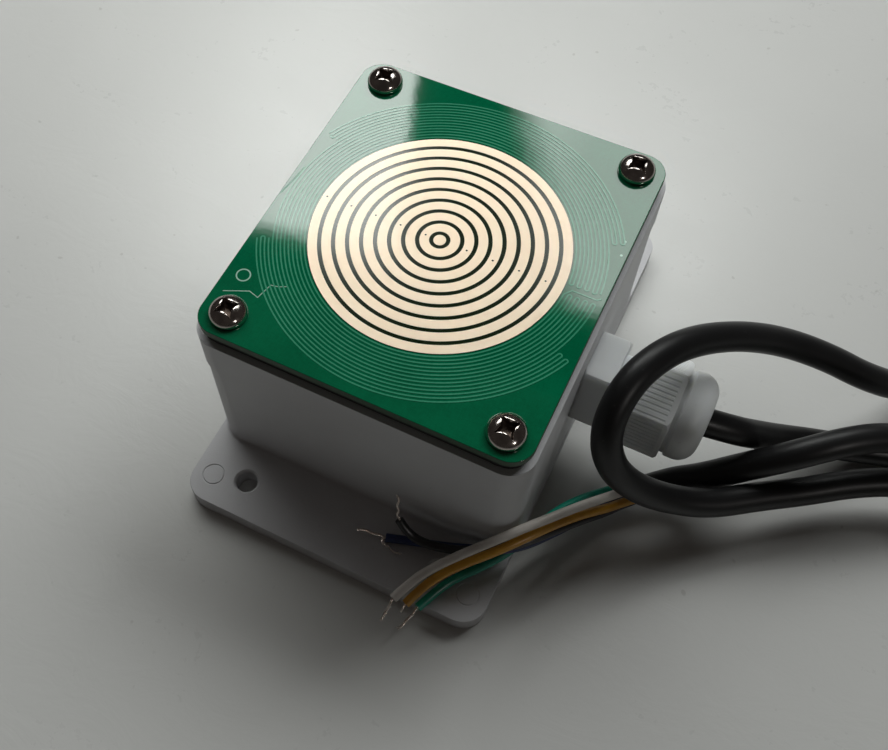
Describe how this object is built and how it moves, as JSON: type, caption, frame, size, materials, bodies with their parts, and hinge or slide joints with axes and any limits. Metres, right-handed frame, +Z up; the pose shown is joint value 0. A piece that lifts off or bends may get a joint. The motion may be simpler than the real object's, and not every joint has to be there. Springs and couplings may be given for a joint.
{
  "type": "rain sensor",
  "caption": "Rain sensor in a small flanged box, with a round ringed sensing pad on its circuit board lid, a side cable gland and a pre-wired lead.",
  "frame": {"origin": "centre of the pattern of mounting holes, on the housing's underside", "axes": "+Z up through the sensing pad, +X out along the cable gland, Y along the flanges"},
  "size_m": [0.1772, 0.1183, 0.0436],
  "materials": {
    "housing": "fine moulded texture, light grey",
    "gasket": "matt black",
    "board": "deep green solder mask, glossy",
    "gold": "pale gold plating, bright",
    "heater": "track under the solder mask, glossy",
    "screw": "bright nickel plate",
    "gland": "light grey nylon, satin",
    "seal": "matt black",
    "cable": "black flexible jacket, satin",
    "wire_green": "satin",
    "wire_white": "satin",
    "wire_yellow": "satin",
    "wire_black": "satin",
    "wire_blue": "satin",
    "bare_wire": "tinned copper strands",
    "relay": "smooth",
    "chip": "matt",
    "capacitor": "satin can",
    "header": "satin"
  },
  "bodies": {
    "root": {"housing": "housing", "lid_gasket": "gasket", "sensor_board": "board", "gold_centre_pad": "gold", "gold_ring_1": "gold", "gold_ring_2": "gold", "gold_ring_3": "gold", "gold_ring_4": "gold", "gold_ring_5": "gold", "gold_ring_6": "gold", "gold_ring_7": "gold", "gold_ring_8": "gold", "gold_ring_9": "gold", "heater_trace_inner": "heater", "heater_trace_upper": "heater", "heater_trace_lower": "heater", "lid_screw_1": "screw", "lid_screw_2": "screw", "lid_screw_3": "screw", "lid_screw_4": "screw", "gland_body": "gland", "gland_lock_nut": "gland", "gland_dome_nut": "gland", "gland_seal_insert": "seal", "cable_inner_jacket": "cable", "cable_jacket": "cable", "wire_green": "wire_green", "wire_green_bare_end": "bare_wire", "inner_lead_green": "wire_green", "wire_white": "wire_white", "wire_white_bare_end": "bare_wire", "inner_lead_white": "wire_white", "wire_yellow": "wire_yellow", "wire_yellow_bare_end": "bare_wire", "inner_lead_yellow": "wire_yellow", "wire_black": "wire_black", "wire_black_bare_end": "bare_wire", "inner_lead_black": "wire_black", "wire_blue": "wire_blue", "wire_blue_bare_end": "bare_wire", "inner_lead_blue": "wire_blue", "wire_header": "header", "relay": "relay", "microcontroller": "chip", "voltage_regulator": "chip", "electrolytic_capacitor": "capacitor"}
  },
  "joints": []
}
